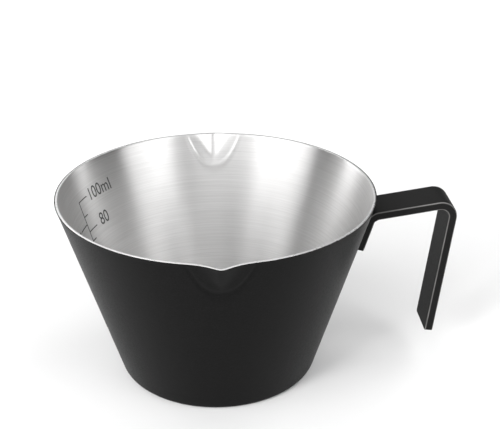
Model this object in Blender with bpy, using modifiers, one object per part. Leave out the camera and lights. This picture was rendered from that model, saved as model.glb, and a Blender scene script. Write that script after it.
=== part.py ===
"""A small steel melting and pouring cup, in metres, +Z up.

A drawn steel cup with a cone-shaped side and two pouring lips, a black coat on its outside,
and an open handle bent from flat bar, joined to the wall by two spot welds.
The origin is the centre of the flat underside. The handle is at +X and the lips are at +Y and -Y.
"""

import math

import bpy
from mathutils import Vector

# Cup: outer sizes of the steel
RIM_RADIUS = 0.0380
HEIGHT = 0.0460
BASE_RADIUS = 0.0244  # where the side would meet the underside with no corner radius
CORNER_RADIUS = 0.0015
WALL = 0.0006
STEPS_ROUND = 96
BUNCHING = 0.65  # how far the steps round the cup crowd towards the lips, 0 for even steps

# Pouring lips
LIP_PUSH = 0.00155  # how far the rim is pushed out along the wall's normal, at the tip
LIP_LENGTH = 0.0083  # from the rim down to the foot of the lip, along the wall
LIP_HALF_WIDTH = 0.0078
LIP_ROUNDNESS = 2.3  # 1 would give a lip a pointed V outline and 2 a parabola
LIP_FLAT_SHARE = 0.6  # how much of the push falls evenly from the fold; the rest is a ridge
LIP_RIDGE = 0.28  # half width of the ridge at half its height, as a share of the lip's
LIP_NOSE = 0.0005  # radius of the fold along the middle
LIP_BLEND = 0.0003  # the push over which a lip's sides fade into the wall

# Coat
COAT = 0.00012
COAT_GAP = 0.00010
COAT_BELOW_RIM = 0.00015
COAT_CORNER_END = math.radians(55)  # how far round the corner the coat goes, down from level

# Handle strap
STRAP_WIDTH = 0.0100
STRAP_THICKNESS = 0.0020
STRAP_GAP = 0.0003  # between the steel wall and the tab
TAB_BEND = 0.0021  # bend radii at the middle of the thickness
GRIP_BEND = 0.0030
STRAP_EDGE = 0.0003
TAB_END_HEIGHT = 0.0310
ARM_TOP_AT_RIM = 0.0410  # height of the arm's top face at the rim's radius
ARM_RISE = math.radians(9.0)
LEG_INNER_AT_RIM = 0.0566  # distance of the leg's inner face from the axis, at the rim's height
LEG_LEAN = math.radians(6.0)
LEG_END_HEIGHT = 0.0073

# Spot welds
WELD_RADIUS = 0.00125
WELD_CLEARANCE = 0.00005
WELD_HEIGHTS = {"spot_weld_upper": 0.0370, "spot_weld_lower": 0.0336}
WINDOW_MARGIN = 0.0006  # the coat's window is this much inside the tab, and clear of the welds

WALL_ANGLE = math.atan((RIM_RADIUS - BASE_RADIUS) / HEIGHT)
WALL_OUTWARD = Vector((math.cos(WALL_ANGLE), 0, -math.sin(WALL_ANGLE)))
WALL_UPWARD = Vector((math.sin(WALL_ANGLE), 0, math.cos(WALL_ANGLE)))


def clear_scene():
    for obj in list(bpy.data.objects):
        bpy.data.objects.remove(obj, do_unlink=True)
    for collection in list(bpy.data.collections):
        bpy.data.collections.remove(collection)


def make_collection(name):
    collection = bpy.data.collections.new(name)
    bpy.context.scene.collection.children.link(collection)
    return collection


def make_material(name, colour, metallic, roughness):
    material = bpy.data.materials.new(name)
    material.use_nodes = True
    shader = material.node_tree.nodes["Principled BSDF"]
    shader.inputs["Base Color"].default_value = (*colour, 1.0)
    shader.inputs["Metallic"].default_value = metallic
    shader.inputs["Roughness"].default_value = roughness
    return material


def make_object(name, mesh, collection, material):
    obj = bpy.data.objects.new(name, mesh)
    mesh.materials.clear()
    mesh.materials.append(material)
    collection.objects.link(obj)
    return obj


def shade_round(mesh):
    mesh.shade_smooth()
    mesh.set_sharp_from_angle(angle=math.radians(30))


def evaluated_mesh(obj):
    """The object's mesh with its modifiers applied."""
    bpy.context.view_layer.update()
    graph = bpy.context.evaluated_depsgraph_get()
    return bpy.data.meshes.new_from_object(obj.evaluated_get(graph))


def wall_radius(height, offset=0.0):
    """Radius of the side at a height, on a cone this far outside the steel."""
    return BASE_RADIUS + height * math.tan(WALL_ANGLE) + offset / math.cos(WALL_ANGLE)


def wall_point(height, offset):
    """A point in the handle's plane, out from the steel wall along the wall's normal."""
    return Vector((wall_radius(height), 0, height)) + offset * WALL_OUTWARD


def side_profile(offset, top, corner_end):
    """(radius, height) down the side and round the corner, this far outside the steel.

    The rows are close together beside the pouring lips and far apart below them.
    The corner is an arc about one centre for every offset, so that offsets stay parallel.
    """
    lip_rows = 8
    lower_rows = 3
    corner_steps = 4
    centre_radius = wall_radius(CORNER_RADIUS, -CORNER_RADIUS)
    arc_radius = CORNER_RADIUS + offset
    wall_foot = CORNER_RADIUS - arc_radius * math.sin(WALL_ANGLE)
    lip_foot = HEIGHT - LIP_LENGTH * math.cos(WALL_ANGLE)
    heights = [top + (lip_foot - top) * row / lip_rows for row in range(lip_rows)]
    heights += [lip_foot + (wall_foot - lip_foot) * row / lower_rows for row in range(lower_rows)]
    points = [(wall_radius(height, offset), height) for height in heights]
    for step in range(corner_steps + 1):
        turn = WALL_ANGLE + (corner_end - WALL_ANGLE) * step / corner_steps
        radius = centre_radius + arc_radius * math.cos(turn)
        points.append((radius, CORNER_RADIUS - arc_radius * math.sin(turn)))
    return points


def lip_push(around, below_rim):
    """How far the wall is pushed out at a place on a lip.

    The middle fold falls evenly from the rim down to the lip's foot, and the lip's half width
    with a root of what is left. Across, one share of the push falls evenly from the rounded
    fold to the outline and the rest is a bell-shaped ridge, and their sum is faded out where
    it reaches the wall.
    """
    left = min(1 - below_rim / LIP_LENGTH, 1)
    if left <= 0:
        return 0.0
    from_fold = math.hypot(around, LIP_NOSE) - LIP_NOSE
    half_width = LIP_HALF_WIDTH * left ** (1 / LIP_ROUNDNESS)
    flat = 1 - from_fold / half_width
    across = min(around / half_width, 1)
    ridge = (1 - across**2) / (1 + (across / LIP_RIDGE) ** 2)
    profile = LIP_FLAT_SHARE * flat + (1 - LIP_FLAT_SHARE) * ridge
    push = (LIP_PUSH + LIP_BLEND) * left * profile - LIP_BLEND
    if push <= -LIP_BLEND:
        return 0.0
    if push >= LIP_BLEND:
        return push
    return (push + LIP_BLEND) ** 2 / (4 * LIP_BLEND)


def press_lips(mesh):
    """Crowds the steps round towards both lips, then pushes the wall out there."""
    for vertex in mesh.vertices:
        x, y, z = vertex.co
        radius = math.hypot(x, y)
        angle = math.atan2(y, x)
        angle += BUNCHING / 2 * math.sin(2 * angle)
        from_lip = abs(abs(angle) - math.pi / 2)
        below_rim = (HEIGHT - z) / math.cos(WALL_ANGLE)
        push = lip_push(radius * from_lip, below_rim)
        radius += push * math.cos(WALL_ANGLE)
        height = z - push * math.sin(WALL_ANGLE)
        vertex.co = (radius * math.cos(angle), radius * math.sin(angle), height)


def turned_mesh(name, profile, is_loop, collection):
    """A profile in the XZ plane turned round Z, with the pouring lips pressed into it."""
    edges = [(i, i + 1) for i in range(len(profile) - 1)]
    if is_loop:
        edges.append((len(profile) - 1, 0))
    outline = bpy.data.meshes.new(name + "_profile")
    outline.from_pydata([(radius, 0, height) for radius, height in profile], edges, [])
    guide = bpy.data.objects.new(name + "_profile", outline)
    collection.objects.link(guide)
    screw = guide.modifiers.new("turn", "SCREW")
    screw.steps = STEPS_ROUND
    screw.render_steps = STEPS_ROUND
    screw.use_merge_vertices = True
    screw.merge_threshold = 0.00001
    mesh = evaluated_mesh(guide)
    mesh.name = name
    bpy.data.objects.remove(guide)
    bpy.data.meshes.remove(outline)
    press_lips(mesh)
    shade_round(mesh)
    return mesh


def make_cup_body(collection, material):
    """The drawn cup: its section runs from the inside of the base, up, over the rim and down."""
    underside = math.radians(90)
    inside = side_profile(-WALL, HEIGHT, underside)
    outside = side_profile(0.0, HEIGHT, underside)
    profile = [(0.0, WALL)] + inside[::-1] + outside + [(0.0, 0.0)]
    mesh = turned_mesh("cup_body", profile, False, collection)
    return make_object("cup_body", mesh, collection, material)


def make_outer_coat(collection, cutters, material):
    """The coat on the outside, with a window behind the tab, where the strap covers the steel."""
    top = HEIGHT - COAT_BELOW_RIM
    inner_face = side_profile(COAT_GAP, top, COAT_CORNER_END)
    outer_face = side_profile(COAT_GAP + COAT, top, COAT_CORNER_END)
    mesh = turned_mesh("outer_coat", inner_face[::-1] + outer_face, True, collection)
    coat = make_object("outer_coat", mesh, collection, material)

    window_top = max(WELD_HEIGHTS.values()) + WELD_RADIUS + WINDOW_MARGIN
    window_foot = TAB_END_HEIGHT + WINDOW_MARGIN
    window_depth = 0.004
    middle = wall_point((window_top + window_foot) / 2, 0.0)
    bpy.ops.mesh.primitive_cube_add(size=1, location=middle, rotation=(0, WALL_ANGLE, 0))
    cutter = bpy.context.object
    cutter.name = "coat_window"
    length = (window_top - window_foot) / math.cos(WALL_ANGLE)
    cutter.scale = (window_depth, STRAP_WIDTH - 2 * WINDOW_MARGIN, length)
    bpy.ops.object.transform_apply(location=False, rotation=False, scale=True)
    bpy.context.collection.objects.unlink(cutter)
    cutters.objects.link(cutter)
    cutter.hide_render = True
    cutter.display_type = "WIRE"

    cut = coat.modifiers.new("window", "BOOLEAN")
    cut.operation = "DIFFERENCE"
    cut.object = cutter
    return coat


def crossing(start_a, along_a, start_b, along_b):
    """Where two lines in the XZ plane cross."""
    between = start_b - start_a
    turn = along_a.x * along_b.z - along_a.z * along_b.x
    return start_a + along_a * ((between.x * along_b.z - between.z * along_b.x) / turn)


def rounded_corner(before, corner, after, radius):
    """Points of an arc that rounds the corner of three points in the XZ plane."""
    arc_steps = 8
    to_before = (before - corner).normalized()
    to_after = (after - corner).normalized()
    half_angle = to_before.angle(to_after) / 2
    centre = corner + (to_before + to_after).normalized() * (radius / math.sin(half_angle))
    start = (corner + to_before * (radius / math.tan(half_angle)) - centre).normalized()
    end = (corner + to_after * (radius / math.tan(half_angle)) - centre).normalized()
    return [centre + radius * start.slerp(end, step / arc_steps) for step in range(arc_steps + 1)]


def strap_path():
    """Middle of the strap's thickness, from the tab's lower end to the leg's free end."""
    half = STRAP_THICKNESS / 2
    tab_end = wall_point(TAB_END_HEIGHT, STRAP_GAP + half)
    arm_along = Vector((math.cos(ARM_RISE), 0, math.sin(ARM_RISE)))
    arm_up = Vector((-math.sin(ARM_RISE), 0, math.cos(ARM_RISE)))
    arm_start = Vector((RIM_RADIUS, 0, ARM_TOP_AT_RIM)) - arm_up * half
    leg_up = Vector((math.sin(LEG_LEAN), 0, math.cos(LEG_LEAN)))
    leg_out = Vector((math.cos(LEG_LEAN), 0, -math.sin(LEG_LEAN)))
    leg_start = Vector((LEG_INNER_AT_RIM, 0, HEIGHT)) + leg_out * half
    tab_corner = crossing(tab_end, WALL_UPWARD, arm_start, arm_along)
    grip_corner = crossing(arm_start, arm_along, leg_start, leg_up)
    leg_end = leg_start - leg_up * ((HEIGHT - LEG_END_HEIGHT) / leg_up.z)
    path = [tab_end]
    path += rounded_corner(tab_end, tab_corner, grip_corner, TAB_BEND)
    path += rounded_corner(tab_corner, grip_corner, leg_end, GRIP_BEND)
    return path + [leg_end]


def make_handle_strap(collection, material):
    """A ribbon along the strap's path, thickened both ways, with its edges broken."""
    path = strap_path()
    side = Vector((0, STRAP_WIDTH / 2, 0))
    points = [point - side for point in path] + [point + side for point in path]
    count = len(path)
    faces = [(i, i + count, i + count + 1, i + 1) for i in range(count - 1)]
    mesh = bpy.data.meshes.new("handle_strap")
    mesh.from_pydata(points, [], faces)
    strap = make_object("handle_strap", mesh, collection, material)
    thicken = strap.modifiers.new("thickness", "SOLIDIFY")
    thicken.thickness = STRAP_THICKNESS
    thicken.offset = 0
    thicken.use_even_offset = True
    edges = strap.modifiers.new("broken_edges", "BEVEL")
    edges.width = STRAP_EDGE
    edges.segments = 2
    edges.limit_method = "ANGLE"
    edges.angle_limit = math.radians(60)
    shade_round(mesh)
    return strap


def make_spot_weld(name, height, collection, material):
    """The fused spot between the wall and the tab, a thin disc lying along the wall."""
    depth = STRAP_GAP - 2 * WELD_CLEARANCE
    bpy.ops.mesh.primitive_cylinder_add(
        vertices=24,
        radius=WELD_RADIUS,
        depth=depth,
        location=wall_point(height, STRAP_GAP / 2),
        rotation=(0, math.radians(90) + WALL_ANGLE, 0),
    )
    weld = bpy.context.object
    weld.name = name
    weld.data.materials.append(material)
    bpy.context.collection.objects.unlink(weld)
    collection.objects.link(weld)
    shade_round(weld.data)
    return weld


def build():
    clear_scene()
    parts = make_collection("melting_and_pouring_cup")
    cutters = make_collection("cutters")
    steel = make_material("brushed_steel", (0.62, 0.62, 0.61), 1.0, 0.30)
    black_coat = make_material("black_powder_coat", (0.012, 0.012, 0.012), 0.0, 0.55)
    weld_steel = make_material("weld_steel", (0.45, 0.45, 0.46), 1.0, 0.45)

    origin = bpy.data.objects.new("cup_origin", None)
    parts.objects.link(origin)
    pieces = [
        make_cup_body(parts, steel),
        make_outer_coat(parts, cutters, black_coat),
        make_handle_strap(parts, black_coat),
    ]
    for name, height in WELD_HEIGHTS.items():
        pieces.append(make_spot_weld(name, height, parts, weld_steel))
    for piece in pieces:
        piece.parent = origin


build()
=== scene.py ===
"""Looks of a small steel melting and pouring cup with an open bar handle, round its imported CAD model."""

import math

import bpy
import numpy as np
from mathutils import Matrix, Vector


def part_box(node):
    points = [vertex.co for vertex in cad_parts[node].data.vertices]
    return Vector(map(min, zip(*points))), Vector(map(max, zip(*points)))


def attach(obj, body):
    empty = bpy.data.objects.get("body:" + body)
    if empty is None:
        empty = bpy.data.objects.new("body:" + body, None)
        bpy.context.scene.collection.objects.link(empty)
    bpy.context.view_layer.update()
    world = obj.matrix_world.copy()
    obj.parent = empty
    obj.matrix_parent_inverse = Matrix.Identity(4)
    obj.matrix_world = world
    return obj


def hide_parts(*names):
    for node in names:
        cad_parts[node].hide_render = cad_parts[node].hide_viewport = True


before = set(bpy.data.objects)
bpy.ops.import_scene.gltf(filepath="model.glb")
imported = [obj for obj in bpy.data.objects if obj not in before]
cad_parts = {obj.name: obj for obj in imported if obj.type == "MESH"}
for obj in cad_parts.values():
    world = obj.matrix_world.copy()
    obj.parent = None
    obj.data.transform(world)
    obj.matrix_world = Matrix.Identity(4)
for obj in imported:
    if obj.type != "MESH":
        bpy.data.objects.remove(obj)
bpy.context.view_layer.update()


# ---------------------------------------------------------------- steel cup
# The cup is one disc of stainless steel drawn into a cone with a flat base, with two pouring lips
# pressed into its rim. The inside is brushed round and round and left bare, and so is the cut edge.

cup_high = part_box("cup_body")[1]
cup_height = cup_high[2]
rim_radius = cup_high[0]
foot_radius = 0.0244  # where the side would meet the underside with no corner radius
wall = 0.0006
corner_radius = 0.0015
wall_angle = math.atan((rim_radius - foot_radius) / cup_height)

lip_push_out = 0.00155  # how far the rim is pushed out along the wall's normal at a lip's tip
lip_length = 0.0083
lip_half_width = 0.0073
lip_roundness = 2.3  # 1 would give a lip a pointed V outline and 2 a parabola
lip_flat_share = 0.45  # how much of a lip's push falls evenly from the fold; the rest is a steep ridge
lip_ridge = 0.30  # half width of the ridge at half its height, as a share of the lip's
lip_nose = 0.0009
lip_blend = 0.0003
dent_edge = 0.00015  # how far the press draws the wall in just outside a lip's outline
dent_edge_start = 0.0010  # depth below the rim at which half of that is reached

steps_round = 480
bunching = 0.65  # how far the steps round the cup crowd towards the two lips


def side_radius(height, offset):
    """Radius of a cone that is this far outside the steel: the foot's radius plus height times the slope."""
    return foot_radius + height * math.tan(wall_angle) + offset / math.cos(wall_angle)


def turned_arc(centre, radius, start, end, steps):
    """(radius, height) points of an arc in a turned section: its centre plus a radius at each angle."""
    angle = np.linspace(math.radians(start), math.radians(end), steps)
    return np.stack([centre[0] + radius * np.cos(angle), centre[1] + radius * np.sin(angle)], 1)


def side_rows(offset, top, rows_by_lips, rows_below):
    """(radius, height) points down a cone at this offset, crowded in the stretch that the lips take up."""
    lips_end = cup_height - 1.1 * lip_length * math.cos(wall_angle)
    corner_top = corner_radius - (corner_radius + offset) * math.sin(wall_angle)
    upper = np.linspace(top, lips_end, rows_by_lips, endpoint=False)
    lower = np.linspace(lips_end, corner_top, rows_below, endpoint=False)
    height = np.concatenate([upper, lower])
    return np.stack([side_radius(height, offset), height], 1)


def foot_arc(offset, end, steps):
    """The corner between side and underside at this offset, from the side down to an angle below level."""
    centre = (side_radius(corner_radius, -corner_radius), corner_radius)
    return turned_arc(centre, corner_radius + offset, -math.degrees(wall_angle), -end, steps)


def lip_push(around, below_rim):
    """How far the wall is pushed out. Left is what is left of the lip's length at this depth: one at the
    rim and zero at the lip's foot. The middle fold's height falls evenly with it, and the lip's half
    width with a root of it. Across, one share of the height falls evenly from the rounded fold to the
    outline, the other is a bell, one over one plus a square, and their sum fades to zero there.
    A low bell along the outline is taken off, where the press draws the wall in round the dent."""
    left = np.clip(1 - below_rim / lip_length, 1e-6, 1)
    from_fold = np.hypot(around, lip_nose) - lip_nose
    half_width = lip_half_width * left ** (1 / lip_roundness)
    flat = 1 - from_fold / half_width
    across = np.clip(around / half_width, 0, 1)
    ridge = (1 - across**2) / (1 + (across / lip_ridge) ** 2)
    profile = lip_flat_share * flat + (1 - lip_flat_share) * ridge
    push = (lip_push_out + lip_blend) * left * profile - lip_blend
    faded = np.clip(push + lip_blend, 0, None) ** 2 / (4 * lip_blend)
    outline = (around / lip_half_width) ** lip_roundness + below_rim / lip_length
    drawn_in = dent_edge * np.exp(-(((outline - 1.04) / 0.12) ** 2))
    drawn_in = drawn_in * below_rim / (below_rim + dent_edge_start)
    return np.where(push > lip_blend, push, faded) - drawn_in


def turned(section):
    """Rows by columns of points: each point of the section carried round the axis, with the columns
    crowded towards the lips by a sine of twice the angle, then moved along the wall's normal by the
    lips' push."""
    even = np.linspace(-math.pi, math.pi, steps_round, endpoint=False)
    angle = even + bunching / 2 * np.sin(2 * even)
    radius = section[:, 0][:, None]
    height = section[:, 1][:, None]
    around = radius * np.abs(np.abs(angle) - math.pi / 2)[None, :]
    push = lip_push(around, (cup_height - height) / math.cos(wall_angle))
    out = radius + push * math.cos(wall_angle)
    up = height - push * math.sin(wall_angle)
    return np.stack([out * np.cos(angle), out * np.sin(angle), np.broadcast_to(up, out.shape)], 2)


def woven_faces(rows, columns, loop_rows=False):
    """Four corner numbers for each cell of a grid of points that closes on itself along its columns,
    and along its rows too for a ring."""
    across = np.arange(columns)
    down = np.arange(rows if loop_rows else rows - 1)
    here = down[:, None] * columns + across[None, :]
    beside = down[:, None] * columns + (across + 1)[None, :] % columns
    below = columns * (((down + 1) % rows) - down)[:, None]
    return np.stack([here, beside, beside + below, here + below], 2).reshape(-1, 4)


def finished_piece(name, points, faces, material):
    """A mesh object at the origin, smooth, in the scene's own collection."""
    mesh = bpy.data.meshes.new(name)
    mesh.from_pydata(points, [], faces)
    mesh.validate()
    mesh.shade_smooth()
    mesh.materials.append(material)
    piece = bpy.data.objects.new(name, mesh)
    bpy.context.scene.collection.objects.link(piece)
    return piece


def new_material(name):
    """An empty material's node tree and its Principled shader."""
    material = bpy.data.materials.new(name)
    material.use_nodes = True
    return material, material.node_tree, material.node_tree.nodes["Principled BSDF"]


def add_node(tree, kind, **values):
    """A node with some of its properties set."""
    node = tree.nodes.new(kind)
    for key, value in values.items():
        setattr(node, key, value)
    return node


def math_node(tree, operation, first, second=None):
    """A Math node fed by sockets or numbers, and its output."""
    node = add_node(tree, "ShaderNodeMath", operation=operation)
    for socket, value in zip(node.inputs, (first, second)):
        if value is None:
            continue
        if isinstance(value, (int, float)):
            socket.default_value = value
        else:
            tree.links.new(value, socket)
    return node.outputs[0]


def noise_value(tree, vector, scale, detail, roughness=0.5):
    """Noise on a vector, as a value round one half."""
    node = add_node(tree, "ShaderNodeTexNoise")
    node.inputs["Scale"].default_value = scale
    node.inputs["Detail"].default_value = detail
    node.inputs["Roughness"].default_value = roughness
    tree.links.new(vector, node.inputs["Vector"])
    return node.outputs["Fac"]


def spread(tree, value, taken, given):
    """A value carried in a straight line from one range to another, and held at the ends."""
    node = add_node(tree, "ShaderNodeMapRange")
    for socket, number in zip(("From Min", "From Max", "To Min", "To Max"), (*taken, *given)):
        node.inputs[socket].default_value = number
    tree.links.new(value, node.inputs["Value"])
    return node.outputs["Result"]


def mixed_colour(tree, share, first, second):
    """A colour that goes from the first to the second with a share. Each is three numbers or a socket."""
    node = add_node(tree, "ShaderNodeMix", data_type="RGBA")
    for socket, colour in (("A", first), ("B", second)):
        if isinstance(colour, tuple):
            node.inputs[socket].default_value = (*colour, 1)
        else:
            tree.links.new(colour, node.inputs[socket])
    tree.links.new(share, node.inputs["Factor"])
    return node.outputs["Result"]


def bump_from(tree, shader, height, strength, distance):
    """Lets a height tilt the surface's normal."""
    node = add_node(tree, "ShaderNodeBump")
    node.inputs["Strength"].default_value = strength
    node.inputs["Distance"].default_value = distance
    tree.links.new(height, node.inputs["Height"])
    tree.links.new(node.outputs["Normal"], shader.inputs["Normal"])


steel_colours = (0.64, 0.636, 0.632), (0.74, 0.737, 0.735)
steel_roughness = 0.31, 0.38
hair_contrast = 0.30, 0.70  # the part of the noise's range that the colours and roughness are spread over
pole_radius = 0.0005  # inside this the cosine and the sine fall to zero at the axis


def brushed_steel_material():
    """Steel brushed round the cup: hair lines that are long round the axis and very fine along the
    section, from noise on (cosine, sine, radius plus height), which has no seam and turns the corner.
    The brushing spreads highlights across the lines, up and down the wall."""
    material, tree, shader = new_material("brushed_steel")
    place = add_node(tree, "ShaderNodeTexCoord")
    parts = add_node(tree, "ShaderNodeSeparateXYZ")
    tree.links.new(place.outputs["Object"], parts.inputs[0])
    x, y = parts.outputs["X"], parts.outputs["Y"]
    square = math_node(tree, "ADD", math_node(tree, "MULTIPLY", x, x), math_node(tree, "MULTIPLY", y, y))
    radius = math_node(tree, "SQRT", square)
    safe_radius = math_node(tree, "MAXIMUM", radius, pole_radius)
    cosine = math_node(tree, "DIVIDE", x, safe_radius)
    sine = math_node(tree, "DIVIDE", y, safe_radius)
    along = math_node(tree, "ADD", radius, parts.outputs["Z"])

    def hair_lines(reach, per_metre):
        """Noise whose streaks are short across and long round the axis."""
        vector = add_node(tree, "ShaderNodeCombineXYZ")
        tree.links.new(math_node(tree, "MULTIPLY", cosine, reach), vector.inputs["X"])
        tree.links.new(math_node(tree, "MULTIPLY", sine, reach), vector.inputs["Y"])
        tree.links.new(math_node(tree, "MULTIPLY", along, per_metre), vector.inputs["Z"])
        return noise_value(tree, vector.outputs[0], scale=1.0, detail=3, roughness=0.65)

    fine = hair_lines(reach=2.5, per_metre=6500)
    coarse = hair_lines(reach=1.6, per_metre=3200)
    colour = mixed_colour(tree, spread(tree, coarse, hair_contrast, (0.0, 1.0)), *steel_colours)
    tree.links.new(colour, shader.inputs["Base Color"])
    tree.links.new(spread(tree, fine, hair_contrast, steel_roughness), shader.inputs["Roughness"])
    bump_from(tree, shader, fine, strength=0.12, distance=0.00002)
    tangent = add_node(tree, "ShaderNodeTangent", direction_type="RADIAL", axis="Z")
    tree.links.new(tangent.outputs["Tangent"], shader.inputs["Tangent"])
    shader.inputs["Metallic"].default_value = 1.0
    shader.inputs["Anisotropic"].default_value = 0.92
    shader.inputs["Anisotropic Rotation"].default_value = 0.25
    return material


brushed_steel = brushed_steel_material()


def cut_edge_material():
    """The trimmed and deburred edge: brighter and smoother than the brushed wall, with faint nicks."""
    material, tree, shader = new_material("trimmed_edge_steel")
    place = add_node(tree, "ShaderNodeTexCoord")
    nicks = noise_value(tree, place.outputs["Object"], scale=900.0, detail=3)
    colour = mixed_colour(tree, nicks, (0.80, 0.80, 0.795), (0.92, 0.918, 0.915))
    tree.links.new(colour, shader.inputs["Base Color"])
    tree.links.new(spread(tree, nicks, (0.0, 1.0), (0.20, 0.38)), shader.inputs["Roughness"])
    shader.inputs["Metallic"].default_value = 1.0
    return material


cut_edge = 0.00020  # radius of the two deburred corners of the cut rim

edge_steps = 5
inner_top = side_radius(cup_height, -wall)
lip_section = np.concatenate(
    [
        turned_arc((inner_top + cut_edge, cup_height - cut_edge), cut_edge, 170, 90, edge_steps),
        turned_arc((rim_radius - cut_edge, cup_height - cut_edge), cut_edge, 90, -10, edge_steps),
    ]
)
side_top = cup_height - 2 * cut_edge
inside_side = side_rows(-wall, side_top, rows_by_lips=56, rows_below=24)[::-1]
inside_corner = foot_arc(-wall, 90, steps=10)[::-1]
first_ring = 0.0004  # radius of the ring next to the axis
floor_rings = np.linspace(first_ring, side_radius(corner_radius, -corner_radius), 12)[:-1]
inside_floor = np.stack([floor_rings, np.full(len(floor_rings), wall)], 1)
underside = inside_floor[::-2].copy()
underside[:, 1] = 0.0
steel_section = np.concatenate(
    [
        inside_floor,
        inside_corner,
        inside_side,
        lip_section,
        side_rows(0.0, side_top, rows_by_lips=28, rows_below=8),
        foot_arc(0.0, 90, steps=8),
        underside,
    ]
)


def with_poles(grid, first, last):
    """The points of a turned grid and its faces, with a fan of triangles to a point on the axis at
    each end."""
    rows, columns = grid.shape[:2]
    points = np.concatenate([grid.reshape(-1, 3), [first, last]])
    faces = woven_faces(rows, columns)[:, ::-1].tolist()
    here = np.arange(columns)
    beside = (here + 1) % columns
    start = np.full(columns, rows * columns)
    faces += np.stack([here, beside, start], 1).tolist()
    below = (rows - 1) * columns
    faces += np.stack([beside + below, here + below, start + 1], 1).tolist()
    return points, faces


steel_points, steel_faces = with_poles(turned(steel_section), (0, 0, wall), (0, 0, 0))
steel_cup = finished_piece("steel_cup", steel_points, steel_faces, brushed_steel)
steel_cup.data.materials.append(cut_edge_material())
lip_start = len(inside_floor) + len(inside_corner) + len(inside_side)
row_of_face = np.arange(len(steel_cup.data.polygons)) // steps_round
flat_top = lip_start + edge_steps - 1
on_edge = (row_of_face >= flat_top) & (row_of_face < lip_start + len(lip_section) - 1)
steel_cup.data.polygons.foreach_set("material_index", on_edge.astype(np.int32))
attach(steel_cup, "root")
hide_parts("cup_body")


# ---------------------------------------------------------------- outside coat
# The outside is sprayed with black powder and baked once the handle is on. The coat is thin, has a
# fine dry grain, ends in a rounded edge at the cut rim and stops under the foot's corner.

coat_thickness = 0.00014
coat_from_steel = 0.00002
coat_below_rim = 0.00001
coat_corner_end = 62  # degrees below level at which the coat stops under the foot's corner


def powder_grain_group():
    """The dry grain of a baked powder: a height that mixes fine and coarse noise, and a mask of
    slightly paler specks where the fine noise peaks."""
    group = bpy.data.node_groups.new("powder_grain", "ShaderNodeTree")
    group.interface.new_socket("Grains per metre", in_out="INPUT", socket_type="NodeSocketFloat")
    group.interface.new_socket("Height", in_out="OUTPUT", socket_type="NodeSocketFloat")
    group.interface.new_socket("Specks", in_out="OUTPUT", socket_type="NodeSocketFloat")
    entry = add_node(group, "NodeGroupInput")
    leave = add_node(group, "NodeGroupOutput")
    place = add_node(group, "ShaderNodeTexCoord")

    def noise_at(share, detail):
        """Noise at this share of the group's grains per metre."""
        value = noise_value(group, place.outputs["Object"], scale=1.0, detail=detail, roughness=0.6)
        scale = math_node(group, "MULTIPLY", entry.outputs["Grains per metre"], share)
        group.links.new(scale, value.node.inputs["Scale"])
        return value

    fine = noise_at(share=1.0, detail=2)
    coarse = noise_at(share=0.28, detail=1)
    height = math_node(group, "ADD", fine, math_node(group, "MULTIPLY", coarse, 0.8))
    group.links.new(height, leave.inputs["Height"])
    group.links.new(spread(group, fine, (0.45, 0.72), (0.0, 1.0)), leave.inputs["Specks"])
    return group


powder_grain = powder_grain_group()


def powder_material(name, deep, pale, grains, strength, smooth, rough, gloss):
    """Black powder coat: the grain sets its bump, and its specks its colour and roughness."""
    material, tree, shader = new_material(name)
    shader.inputs["Specular IOR Level"].default_value = gloss
    grain = add_node(tree, "ShaderNodeGroup", node_tree=powder_grain)
    grain.inputs["Grains per metre"].default_value = grains
    specks = grain.outputs["Specks"]
    tree.links.new(mixed_colour(tree, specks, deep, pale), shader.inputs["Base Color"])
    tree.links.new(spread(tree, specks, (0.0, 1.0), (smooth, rough)), shader.inputs["Roughness"])
    bump_from(tree, shader, grain.outputs["Height"], strength, distance=0.00004)
    return material, tree, shader


cup_powder = powder_material(
    "black_powder_coat",
    deep=(0.0017, 0.0017, 0.0017),
    pale=(0.0050, 0.0050, 0.0050),
    grains=3000,
    strength=0.40,
    smooth=0.38,
    rough=0.50,
    gloss=0.083,
)[0]

coat_top = cup_height - coat_below_rim
coat_outer = coat_from_steel + coat_thickness
coat_middle = (coat_from_steel + coat_outer) / 2
coat_edge_radius = coat_thickness / 2
coat_edge_centre = side_radius(coat_top, coat_middle), coat_top - coat_edge_radius
coat_section = np.concatenate(
    [
        foot_arc(coat_from_steel, coat_corner_end, steps=8)[::-1],
        side_rows(coat_from_steel, coat_top - coat_thickness, rows_by_lips=28, rows_below=8)[::-1],
        turned_arc(coat_edge_centre, coat_edge_radius, 170, -10, 7),
        side_rows(coat_outer, coat_top - coat_thickness, rows_by_lips=52, rows_below=20),
        foot_arc(coat_outer, coat_corner_end, steps=10),
    ]
)
coat_grid = turned(coat_section)
coat_faces = woven_faces(len(coat_section), steps_round, loop_rows=True)[:, ::-1]
outside_coat = finished_piece("outside_coat", coat_grid.reshape(-1, 3), coat_faces.tolist(), cup_powder)
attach(outside_coat, "root")
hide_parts("outer_coat")


# ---------------------------------------------------------------- handle bar
# The handle is one length of flat bar with broken edges, bent cold in two places: a tab that is
# dished to the wall's curve and welded there, a grip arm that rises a little, and a free leg.

bar_width = 0.0100
bar_thickness = 0.0020
bar_gap = 0.0003  # between the wall and the tab, where the welds are
bar_edge = 0.00030  # radius of the bar's broken edges
bar_end_round = 0.0009  # radius of the corners of the cut ends, seen flat on
tab_bend = 0.0021
grip_bend = 0.0030
tab_end_height = 0.0310
arm_top_at_rim = 0.0410
arm_rise = math.radians(9.0)
leg_inner_at_rim = 0.05658
leg_lean = math.radians(6.0)
leg_end_height = 0.0073


def crossing(start_a, along_a, start_b, along_b):
    """Where two lines in the handle's plane cross: the first start plus its direction times a ratio of
    cross products."""
    between = start_b - start_a
    turn = along_a[0] * along_b[1] - along_a[1] * along_b[0]
    return start_a + along_a * ((between[0] * along_b[1] - between[1] * along_b[0]) / turn)


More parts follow.
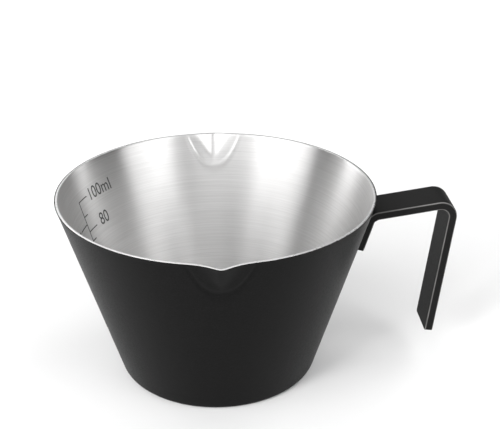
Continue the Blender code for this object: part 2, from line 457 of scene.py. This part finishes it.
def rounded_corner(before, corner, after, radius, steps):
    """Points of the arc that touches both legs of a corner, from one touching point to the other."""
    to_before = (before - corner) / np.linalg.norm(before - corner)
    to_after = (after - corner) / np.linalg.norm(after - corner)
    half_angle = math.acos(float(to_before @ to_after)) / 2
    middle = (to_before + to_after) / np.linalg.norm(to_before + to_after)
    centre = corner + middle * radius / math.sin(half_angle)
    sweep = math.pi / 2 - half_angle
    share = np.linspace(-sweep, sweep, steps)[:, None]
    turn = to_after - to_before
    sideways = turn / np.linalg.norm(turn)
    return centre + radius * (np.sin(share) * sideways - np.cos(share) * middle)


def bar_path():
    """(x, z) points along the middle of the bar's thickness, straight runs between two arcs, and the
    share of the wall's curve that each point's cross section takes: 1 on the tab, 0 past its bend."""
    half = bar_thickness / 2
    tab_end = np.array([side_radius(tab_end_height, 0.0), tab_end_height])
    tab_end = tab_end + (bar_gap + half) * np.array([math.cos(wall_angle), -math.sin(wall_angle)])
    tab_up = np.array([math.sin(wall_angle), math.cos(wall_angle)])
    arm_along = np.array([math.cos(arm_rise), math.sin(arm_rise)])
    arm_start = np.array([rim_radius, arm_top_at_rim]) + half * np.array([arm_along[1], -arm_along[0]])
    leg_up = np.array([math.sin(leg_lean), math.cos(leg_lean)])
    leg_start = np.array([leg_inner_at_rim, cup_height]) + half * np.array([leg_up[1], -leg_up[0]])
    tab_corner = crossing(tab_end, tab_up, arm_start, arm_along)
    grip_corner = crossing(arm_start, arm_along, leg_start, leg_up)
    leg_end = leg_start - leg_up * (cup_height - leg_end_height) / leg_up[1]
    first_bend = rounded_corner(tab_end, tab_corner, grip_corner, tab_bend, 22)
    second_bend = rounded_corner(tab_corner, grip_corner, leg_end, grip_bend, 26)

    def run(start, end, steps):
        share = np.linspace(0, 1, steps)[1:-1, None]
        return start + share * (end - start)

    path = np.concatenate(
        [
            tab_end[None, :],
            run(tab_end, first_bend[0], 14),
            first_bend,
            run(first_bend[-1], second_bend[0], 22),
            second_bend,
            run(second_bend[-1], leg_end, 36),
            leg_end[None, :],
        ]
    )
    walked = np.concatenate([[0], np.cumsum(np.linalg.norm(np.diff(path, axis=0), axis=1))])
    tab_walk = float(np.linalg.norm(first_bend[0] - tab_end))
    dish = np.clip(1 - (walked - tab_walk) / (0.5 * tab_bend), 0, 1)
    return path, walked, dish


def bar_section():
    """(across, through) of the bar's rectangle with rounded corners, as points from four arcs, and how
    much of an edge each point is: 1 on a corner's arc and 0 on a flat side."""
    across, through, edge = [], [], []
    flat_steps = 10
    for quarter in range(4):
        angle = np.radians(np.linspace(90 * quarter, 90 * quarter + 90, 7))
        side = 1 if quarter in (0, 3) else -1
        face = 1 if quarter in (0, 1) else -1
        across.append(side * (bar_width / 2 - bar_edge) + bar_edge * np.cos(angle))
        through.append(face * (bar_thickness / 2 - bar_edge) + bar_edge * np.sin(angle))
        edge.append(np.sin(np.linspace(0, math.pi, 7)))
        if quarter in (0, 2):
            run = side * np.linspace(1, -1, flat_steps)[1:-1] * (bar_width / 2 - bar_edge)
            across.append(run)
            through.append(np.full(flat_steps - 2, face * bar_thickness / 2))
            edge.append(np.zeros(flat_steps - 2))
    return np.concatenate(across), np.concatenate(through), np.concatenate(edge)


def bar_grid():
    """Rows of section points along the path. Near each end the section shrinks round a quarter circle,
    so the cut ends have the same broken edges, and on the tab it is moved in by the wall's own curve."""
    path, walked, dish = bar_path()
    turn = np.radians(np.linspace(0, 90, 6))
    start_inset = bar_edge * (1 - np.sin(turn))
    start_walk = bar_edge * (1 - np.cos(turn))
    length = walked[-1]
    round_walk = np.linspace(bar_edge, bar_end_round, 8)[1:]
    middle = walked[(walked > 1.1 * bar_end_round) & (walked < length - 1.1 * bar_end_round)]
    opening = np.concatenate([start_walk, round_walk])
    stations = np.concatenate([opening, middle, length - opening[::-1]])
    inset = np.interp(np.minimum(stations, length - stations), start_walk, start_inset)
    x = np.interp(stations, walked, path[:, 0])
    z = np.interp(stations, walked, path[:, 1])
    bend = np.interp(stations, walked, dish)
    along = np.stack([np.gradient(x, stations), np.gradient(z, stations)], 1)
    along /= np.linalg.norm(along, axis=1)[:, None]
    outward = np.stack([along[:, 1], -along[:, 0]], 1)
    across, through, edge = bar_section()
    to_end = np.clip(np.minimum(stations, length - stations), 0, bar_end_round)
    corner_cut = bar_end_round - np.sqrt(bar_end_round**2 - (bar_end_round - to_end) ** 2)
    squeeze = 1 - (inset + corner_cut) / (bar_width / 2)
    half_across = np.abs(across)[None, :] * squeeze[:, None]
    half_through = np.abs(through)[None, :] - inset[:, None]
    y = np.sign(across) * np.clip(half_across, 0, None)
    off = np.sign(through) * np.clip(half_through, 0, None)
    wall_radius = side_radius(z, 0.0)[:, None] / math.cos(wall_angle)
    off = off - bend[:, None] * (wall_radius - np.sqrt(wall_radius**2 - y**2))
    grid = np.stack([x[:, None] + outward[:, :1] * off, y, z[:, None] + outward[:, 1:] * off], 2)
    ends = np.clip(inset / bar_edge, 0, 1)[:, None]
    return grid, np.maximum(edge[None, :], np.sin(ends * math.pi / 2))


handle_powder, handle_tree, handle_shader = powder_material(
    "handle_powder_coat",
    deep=(0.0080, 0.0079, 0.0078),
    pale=(0.0130, 0.0128, 0.0127),
    grains=3400,
    strength=0.30,
    smooth=0.50,
    rough=0.62,
    gloss=0.055,
)
# Painted highlight: the pale colour laid on the bar's edges in place of the light that they catch.
edge_highlight_colour = (0.160, 0.157, 0.154)


def worn_edges(tree, shader):
    """Painted highlight along the edges: the piece's own edge attribute makes the powder much paler
    there, standing in for the light that the rounded edges catch, and smoother, broken up by a soft
    noise."""
    edge_mask = add_node(tree, "ShaderNodeAttribute", attribute_name="edge")
    place = add_node(tree, "ShaderNodeTexCoord")
    patches = noise_value(tree, place.outputs["Object"], scale=260.0, detail=3)
    patchy = spread(tree, patches, (0.25, 0.70), (0.55, 1.0))
    highlight_share = math_node(tree, "MULTIPLY", edge_mask.outputs["Fac"], patchy)
    plain_colour = shader.inputs["Base Color"].links[0].from_socket
    tree.links.new(mixed_colour(tree, highlight_share, plain_colour, edge_highlight_colour), shader.inputs["Base Color"])
    plain_rough = shader.inputs["Roughness"].links[0].from_socket
    rough = math_node(tree, "SUBTRACT", plain_rough, math_node(tree, "MULTIPLY", highlight_share, 0.12))
    tree.links.new(rough, shader.inputs["Roughness"])


worn_edges(handle_tree, handle_shader)

bar_points, bar_edge_highlight = bar_grid()
bar_rows, bar_columns = bar_points.shape[:2]
bar_faces = woven_faces(bar_rows, bar_columns).tolist()
bar_faces.append(list(range(bar_columns))[::-1])
bar_faces.append([(bar_rows - 1) * bar_columns + column for column in range(bar_columns)])
handle_bar = finished_piece("handle_bar", bar_points.reshape(-1, 3), bar_faces, handle_powder)
# Where the painted edge highlight goes: 1 on the rounded edges and cut ends, 0 on the flat faces.
edge_attribute = handle_bar.data.attributes.new("edge", "FLOAT", "POINT")
edge_attribute.data.foreach_set("value", bar_edge_highlight.astype(np.float32).ravel())
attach(handle_bar, "root")
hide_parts("handle_strap")


# ---------------------------------------------------------------- spot welds
# Two electrodes squeeze the tab on to the wall and fuse a spot of each. The spots lie between the
# two and can't be seen. They are dull, with the straw and blue colours that heat leaves on steel.

weld_radius = 0.00125
weld_half_height = bar_gap / 2 - 0.00005  # clear of the wall and of the tab


def weld_material():
    """Fused steel: straw and blue tints mixed by a fine noise, which also pits the surface."""
    material, tree, shader = new_material("fused_steel")
    place = add_node(tree, "ShaderNodeTexCoord")
    pits = noise_value(tree, place.outputs["Object"], scale=1800.0, detail=4)
    tint = mixed_colour(tree, pits, (0.34, 0.33, 0.36), (0.47, 0.42, 0.33))
    tree.links.new(tint, shader.inputs["Base Color"])
    bump_from(tree, shader, pits, strength=0.5, distance=0.00005)
    shader.inputs["Metallic"].default_value = 1.0
    shader.inputs["Roughness"].default_value = 0.5
    return material


fused_steel = weld_material()


def weld_grid(height, rings=7, columns=48, side_power=0.35, face_power=0.6):
    """A flattened bead: rings whose radius and height follow a cosine and a sine raised to low powers,
    which squares them off, laid along the wall's normal."""
    turn = np.linspace(-math.pi / 2, math.pi / 2, 2 * rings + 1)[1:-1]
    out = weld_radius * np.abs(np.cos(turn)) ** side_power
    lift = np.sign(turn) * np.abs(np.sin(turn)) ** face_power * weld_half_height
    angle = np.linspace(0, 2 * math.pi, columns, endpoint=False)
    wall_out = np.array([math.cos(wall_angle), 0, -math.sin(wall_angle)])
    wall_up = np.array([math.sin(wall_angle), 0, math.cos(wall_angle)])
    centre = np.array([side_radius(height, 0.0), 0, height]) + wall_out * bar_gap / 2
    sideways = np.array([0, 1.0, 0])
    ring = np.cos(angle)[:, None] * sideways + np.sin(angle)[:, None] * wall_up
    grid = centre + lift[:, None, None] * wall_out + out[:, None, None] * ring[None, :, :]
    return grid, (centre - wall_out * weld_half_height, centre + wall_out * weld_half_height)


for node in ("spot_weld_upper", "spot_weld_lower"):
    weld_low, weld_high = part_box(node)
    bead, (bead_in, bead_out) = weld_grid((weld_low[2] + weld_high[2]) / 2)
    bead_points, bead_faces = with_poles(bead[::-1], bead_out, bead_in)
    name = node.replace("spot_weld", "fused_spot")
    fused_spot = finished_piece(name, bead_points, bead_faces, fused_steel)
    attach(fused_spot, "root")
    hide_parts(node)


# ---------------------------------------------------------------- volume marks
# Levels and numbers are printed in dark ink on the inside wall, across from the handle: millilitres
# on the right of an upright line and ounces on its left, as on a ruler.

ink_lift = 0.000015
ink_thickness = 0.00002
mark_line_angle = math.radians(165.0)  # the upright line's compass angle from the handle
line_width = 0.00026
letter_height = 0.0033
height_in_font = 0.73  # a figure's height as a share of the built-in font's size
letter_narrowing = 0.86


def level_of(millilitres):
    """Height that this volume reaches in the cone: the cube of the radius there is the cube of the
    floor's radius plus three times the volume times the side's slope over pi."""
    slope = math.tan(wall_angle)
    floor_radius = side_radius(wall, -wall)
    radius = (floor_radius**3 + 3 * slope * millilitres * 1e-6 / math.pi) ** (1 / 3)
    return wall + (radius - floor_radius) / slope


# The top three are given one by one and stand up to 1.8 mm off the levels that the formula gives
printed_levels = {100: 0.0389, 90: 0.0350, 80: 0.0311}
for tens in range(10, 80, 10):
    printed_levels[tens] = level_of(tens)
number_lifts = {100: 0.0, 80: 0.0007, 40: 0.0, 20: 0.0}  # from a mark to its number's middle
ounce_levels = {3: 0.0331, 2: level_of(59.1), 1: level_of(29.6)}


def on_wall(points):
    """Carries flat (right, up, lift) points on to the inside wall: right is arc length round the wall
    from the upright line, up is height above the base, and lift is distance off the steel."""
    right, up, lift = points[:, 0], points[:, 1], points[:, 2]
    radius = side_radius(up, -wall)
    angle = mark_line_angle - right / radius
    out = radius - lift * math.cos(wall_angle)
    return np.stack([out * np.cos(angle), out * np.sin(angle), up + lift * math.sin(wall_angle)], 1)


def printed_bar(left, right, low, high, steps):
    """A thin closed box of ink, cut into steps along its longer side so that it follows the wall."""
    if right - left > high - low:
        rights = np.linspace(left, right, steps)
        ring = [(low, 0), (high, 0), (high, 1), (low, 1)]
        grid = np.array([[(r, up, lift) for up, lift in ring] for r in rights])
    else:
        ups = np.linspace(low, high, steps)
        ring = [(left, 0), (left, 1), (right, 1), (right, 0)]
        grid = np.array([[(r, up, lift) for r, lift in ring] for up in ups])
    grid[:, :, 2] = ink_lift + grid[:, :, 2] * ink_thickness
    faces = woven_faces(steps, 4).tolist()
    faces.append([3, 2, 1, 0])
    faces.append([4 * (steps - 1) + corner for corner in range(4)])
    return grid.reshape(-1, 3), faces


def printed_text(words, left, middle, align):
    """Letters as a thin closed mesh, their middle at a height and their start or end at a place."""
    curve = bpy.data.curves.new("letters", "FONT")
    curve.body = words
    curve.size = letter_height / height_in_font
    curve.align_x = align
    curve.extrude = 0.5
    curve.resolution_u = 4
    letters = bpy.data.objects.new("letters", curve)
    bpy.context.scene.collection.objects.link(letters)
    bpy.context.view_layer.update()
    mesh = bpy.data.meshes.new_from_object(letters.evaluated_get(bpy.context.evaluated_depsgraph_get()))
    points = np.empty(len(mesh.vertices) * 3)
    mesh.vertices.foreach_get("co", points)
    points = points.reshape(-1, 3)
    points[:, 0] = left + letter_narrowing * points[:, 0]
    points[:, 1] = points[:, 1] - letter_height / 2 + middle
    points[:, 2] = ink_lift + (points[:, 2] + 0.5) * ink_thickness
    faces = [list(polygon.vertices) for polygon in mesh.polygons]
    bpy.data.objects.remove(letters)
    bpy.data.curves.remove(curve)
    bpy.data.meshes.remove(mesh)
    return points, faces


def ink_material():
    """Dark ink on steel: matt, with its tone broken by a fine noise."""
    material, tree, shader = new_material("dark_ink")
    place = add_node(tree, "ShaderNodeTexCoord")
    specks = noise_value(tree, place.outputs["Object"], scale=2600.0, detail=3)
    tone = mixed_colour(tree, specks, (0.042, 0.042, 0.043), (0.085, 0.085, 0.086))
    tree.links.new(tone, shader.inputs["Base Color"])
    shader.inputs["Roughness"].default_value = 0.6
    return material


dark_ink = ink_material()
half_line = line_width / 2
long_tick = 0.0044
short_tick = 0.0020
letter_gap = 0.0007
short_number_indent = 0.0011  # numbers with two figures start this much further along
line_foot = 0.0045  # height at which the upright line starts
prints = [printed_bar(-half_line, half_line, line_foot, printed_levels[100] + half_line, 40)]
for volume, level in printed_levels.items():
    reach = long_tick if volume in number_lifts else short_tick
    prints.append(printed_bar(half_line, reach, level - half_line, level + half_line, 8))
    if volume in number_lifts:
        words = "100ml" if volume == 100 else str(volume)
        start = long_tick + letter_gap + (volume < 100) * short_number_indent
        prints.append(printed_text(words, start, level + number_lifts[volume], "LEFT"))
for volume, level in ounce_levels.items():
    prints.append(printed_bar(-long_tick, -half_line, level - half_line, level + half_line, 8))
    words = f"{volume}oz" if volume == max(ounce_levels) else str(volume)
    prints.append(printed_text(words, -long_tick - letter_gap, level, "RIGHT"))

mark_points, mark_faces, counted = [], [], 0
for flat_points, flat_faces in prints:
    mark_points.append(on_wall(flat_points))
    mark_faces += [[corner + counted for corner in face] for face in flat_faces]
    counted += len(flat_points)
volume_marks = finished_piece("volume_marks", np.concatenate(mark_points), mark_faces, dark_ink)
volume_marks.data.shade_flat()
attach(volume_marks, "root")


# ---------------------------------------------------------------- floor, light and camera
# A pale seamless floor, a dome of soft light that is brighter on both sides of the camera, one large
# soft light from the upper left, which throws the shadow to the right, and a weak one that fills it.

floor_mesh = bpy.data.meshes.new("floor")
floor_half = 3.0
floor_drop = -0.0001  # just clear of the base, so that the two flat faces don't fight
floor_mesh.from_pydata(
    [(x * floor_half, y * floor_half, floor_drop) for x, y in ((-1, -1), (1, -1), (1, 1), (-1, 1))],
    [],
    [(0, 1, 2, 3)],
)
floor = bpy.data.objects.new("floor", floor_mesh)
bpy.context.scene.collection.objects.link(floor)
floor_material, _, floor_shader = new_material("pale_floor")
floor_shader.inputs["Base Color"].default_value = (0.76, 0.76, 0.76, 1)
floor_shader.inputs["Roughness"].default_value = 0.9
floor_shader.inputs["Specular IOR Level"].default_value = 0.1
floor_mesh.materials.append(floor_material)

# Compass angle in degrees, from +X towards +Y, and the light that comes from there. The steel shows
# each change as an upright band on the inside wall.
compass_light = [
    (-180, 0.04), (-177, 0.08), (-167, 2.50), (-131, 3.10), (-118, 1.60), (-94, 1.50), (-77, 1.35),
    (-67, 0.75), (-59, 0.90), (-51, 2.80), (-40, 2.80), (-30, 2.00), (-20, 2.00), (-11, 0.00), (19, 0.00),
    (26, 1.60), (33, 1.40), (41, 0.15), (66, 0.25), (84, 0.85), (104, 1.00), (134, 1.10), (141, 2.80),
    (151, 2.80), (158, 0.05), (179.9, 0.04),
]
overhead_light = 0.4, 1.3  # towards the front, and towards the back
overhead_from = math.radians(60)  # elevation at which the bands start to give way to it
overhead_full = math.radians(78)

dome = bpy.data.worlds.new("soft_dome")
bpy.context.scene.world = dome
dome.use_nodes = True
dome_tree = dome.node_tree
direction = add_node(dome_tree, "ShaderNodeTexCoord")
toward = add_node(dome_tree, "ShaderNodeSeparateXYZ")
dome_tree.links.new(direction.outputs["Generated"], toward.inputs[0])
compass = math_node(dome_tree, "ARCTAN2", toward.outputs["Y"], toward.outputs["X"])
share_round = math_node(dome_tree, "ADD", math_node(dome_tree, "DIVIDE", compass, 2 * math.pi), 0.5)
bands = add_node(dome_tree, "ShaderNodeValToRGB")
bands.color_ramp.interpolation = "EASE"
stops = bands.color_ramp.elements
brightest = max(light for _, light in compass_light)
while len(stops) > 1:
    stops.remove(stops[0])
for number, (angle, light) in enumerate(compass_light):
    place_on_ramp = (angle + 180) / 360
    stop = stops[0] if number == 0 else stops.new(place_on_ramp)
    stop.position = place_on_ramp
    tone = light / brightest
    stop.color = (tone, tone, tone, 1)
dome_tree.links.new(share_round, bands.inputs["Fac"])
overhead = add_node(dome_tree, "ShaderNodeMapRange", interpolation_type="SMOOTHSTEP")
overhead.inputs["From Min"].default_value = math.sin(overhead_from)
overhead.inputs["From Max"].default_value = math.sin(overhead_full)
dome_tree.links.new(toward.outputs["Z"], overhead.inputs["Value"])
overhead_tones = overhead_light[0] / brightest, overhead_light[1] / brightest
front_to_back = spread(dome_tree, toward.outputs["Y"], (-0.1, 0.5), overhead_tones)
sky = mixed_colour(dome_tree, overhead.outputs["Result"], bands.outputs["Color"], front_to_back)
seen = add_node(dome_tree, "ShaderNodeLightPath")
plain = (1 / brightest,) * 3  # what the camera sees behind the floor's edge
backdrop = mixed_colour(dome_tree, seen.outputs["Is Camera Ray"], sky, plain)
background = dome_tree.nodes["Background"]
dome_tree.links.new(backdrop, background.inputs["Color"])
background.inputs["Strength"].default_value = brightest


def soft_light(name, place, aim, width, depth, power):
    """A rectangular area light that looks at a point."""
    lamp = bpy.data.lights.new(name, "AREA")
    lamp.shape = "RECTANGLE"
    lamp.size = width
    lamp.size_y = depth
    lamp.energy = power
    light = bpy.data.objects.new(name, lamp)
    bpy.context.scene.collection.objects.link(light)
    light.location = place
    light.rotation_euler = (Vector(aim) - Vector(place)).to_track_quat("-Z", "Y").to_euler()
    return light


key = soft_light("front_left_softbox", (-0.60, -0.56, 0.31), (0.02, 0.02, 0.0), 0.26, 0.20, 6.4)
key.visible_glossy = False
fill = soft_light("back_right_fill", (0.50, 0.30, 0.50), (0.08, 0.0, 0.0), 0.50, 0.50, 1.8)
fill.visible_glossy = False

look_azimuth = math.radians(-4.32)
look_elevation = math.radians(25.46)
look_roll = 0.0098
look_distance = 0.2299
look_at = Vector((0.0116, -0.0009, 0.0394))
lens = 68.31

back = Vector(
    (
        math.sin(look_azimuth) * math.cos(look_elevation),
        -math.cos(look_azimuth) * math.cos(look_elevation),
        math.sin(look_elevation),
    )
)
level_right = Vector((0, 0, 1)).cross(back).normalized()
level_up = back.cross(level_right)
right = math.cos(look_roll) * level_right + math.sin(look_roll) * level_up
up = math.cos(look_roll) * level_up - math.sin(look_roll) * level_right
camera_data = bpy.data.cameras.new("camera")
camera_data.lens = lens
camera_data.sensor_width = 36.0
camera_data.shift_x = -0.03
camera_data.clip_start = 0.01
camera = bpy.data.objects.new("camera", camera_data)
bpy.context.scene.collection.objects.link(camera)
turn_to_view = Matrix((right, up, back)).transposed().to_4x4()
camera.matrix_world = Matrix.Translation(look_at + look_distance * back) @ turn_to_view
bpy.context.scene.camera = camera
bpy.context.scene.view_settings.view_transform = "Standard"

bpy.context.view_layer.update()
